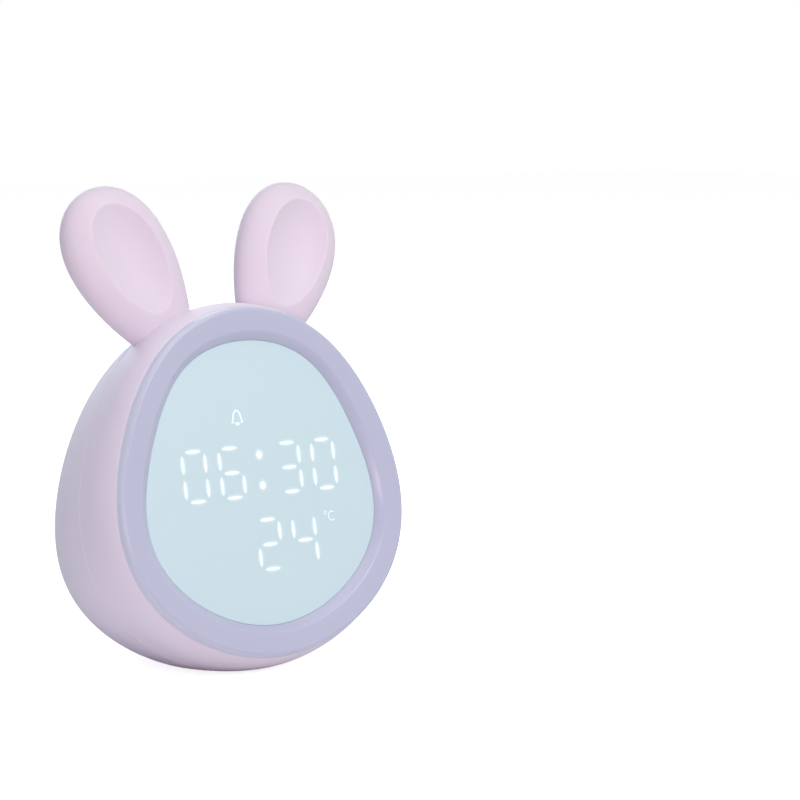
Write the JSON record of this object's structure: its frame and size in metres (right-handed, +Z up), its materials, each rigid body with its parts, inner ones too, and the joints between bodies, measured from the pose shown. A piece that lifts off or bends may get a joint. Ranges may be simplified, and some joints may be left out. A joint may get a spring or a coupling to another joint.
{
  "type": "children's alarm clock with night light",
  "caption": "Egg-shaped bedside alarm clock that leans back, with soft ears, a dished night-light ring round a digital display, and press keys, a speaker grille and a charging socket behind.",
  "frame": {"origin": "centre of the bounding box, on the table that the foot stands on", "axes": "+Z up, -Y the way the display faces (it leans back by 11.35 degrees), +X to the right of someone who reads the display"},
  "size_m": [0.0952, 0.0758, 0.1292],
  "materials": {
    "shell_lilac": "moulded ABS, fine satin texture",
    "ear_silicone": "soft silicone, matte",
    "ring_diffuser": "milky translucent polycarbonate, satin",
    "window_acrylic": "back-printed acrylic, antiglare",
    "foam_adhesive": "black foam tape",
    "mask_white": "white ABS, lightproof",
    "circuit_board": "glass epoxy with green solder resist",
    "lamp_white": "clear and yellow resin over white LED",
    "chip_black": "moulded epoxy",
    "copper_foil": "copper tape",
    "cradle_grey": "moulded ABS",
    "battery_wrap": "shrunk PVC sleeve",
    "key_lilac": "moulded ABS, satin",
    "switch_black": "moulded nylon",
    "plated_steel": "nickel and zinc plated steel",
    "magnet_ferrite": "sintered ferrite in a steel cup",
    "cone_paper": "pressed paper pulp",
    "foot_rubber": "moulded silicone rubber",
    "plug_rubber": "moulded silicone rubber in the housing's colour"
  },
  "bodies": {
    "clock": {"main_shell": "shell_lilac", "rear_cover": "shell_lilac", "night_light_ring": "ring_diffuser", "display_window": "window_acrylic", "window_tape": "foam_adhesive", "left_ear": "ear_silicone", "right_ear": "ear_silicone", "foot_pad": "foot_rubber", "segment_reflector": "mask_white", "display_board": "circuit_board", "display_leds": "lamp_white", "ring_led_board": "circuit_board", "ring_leds": "lamp_white", "controller_chip": "chip_black", "sound_chip": "chip_black", "touch_foil": "copper_foil", "battery_cradle": "cradle_grey", "battery_pack": "battery_wrap", "key_board": "circuit_board", "switch_housings": "switch_black", "speaker_frame": "plated_steel", "speaker_cone": "cone_paper", "speaker_magnet": "magnet_ferrite", "speaker_gasket": "foam_adhesive", "speaker_clamp": "cradle_grey", "usb_socket": "plated_steel", "charge_board": "circuit_board", "charge_chip": "chip_black", "temperature_sensor": "chip_black", "housing_screws": "plated_steel", "board_screws": "plated_steel", "clamp_screws": "plated_steel", "key_board_screws": "plated_steel", "screw_plugs": "plug_rubber"},
    "set_button": {"set_key": "key_lilac", "set_plunger": "switch_black"},
    "down_button": {"down_key": "key_lilac", "down_plunger": "switch_black"},
    "up_button": {"up_key": "key_lilac", "up_plunger": "switch_black"},
    "alarm_button": {"alarm_key": "key_lilac", "alarm_plunger": "switch_black"}
  },
  "joints": [
    {"name": "set_press", "type": "slide", "parent": "clock", "child": "set_button", "axis": [0, -0.9804, 0.1968], "range_m": [0, 0.0005], "stiffness_N_per_m": 800, "springref_m": -0.0005},
    {"name": "down_press", "type": "slide", "parent": "clock", "child": "down_button", "axis": [0, -0.9804, 0.1968], "range_m": [0, 0.0005], "stiffness_N_per_m": 800, "springref_m": -0.0005},
    {"name": "up_press", "type": "slide", "parent": "clock", "child": "up_button", "axis": [0, -0.9804, 0.1968], "range_m": [0, 0.0005], "stiffness_N_per_m": 800, "springref_m": -0.0005},
    {"name": "alarm_press", "type": "slide", "parent": "clock", "child": "alarm_button", "axis": [0, -0.9804, 0.1968], "range_m": [0, 0.0005], "stiffness_N_per_m": 800, "springref_m": -0.0005}
  ]
}
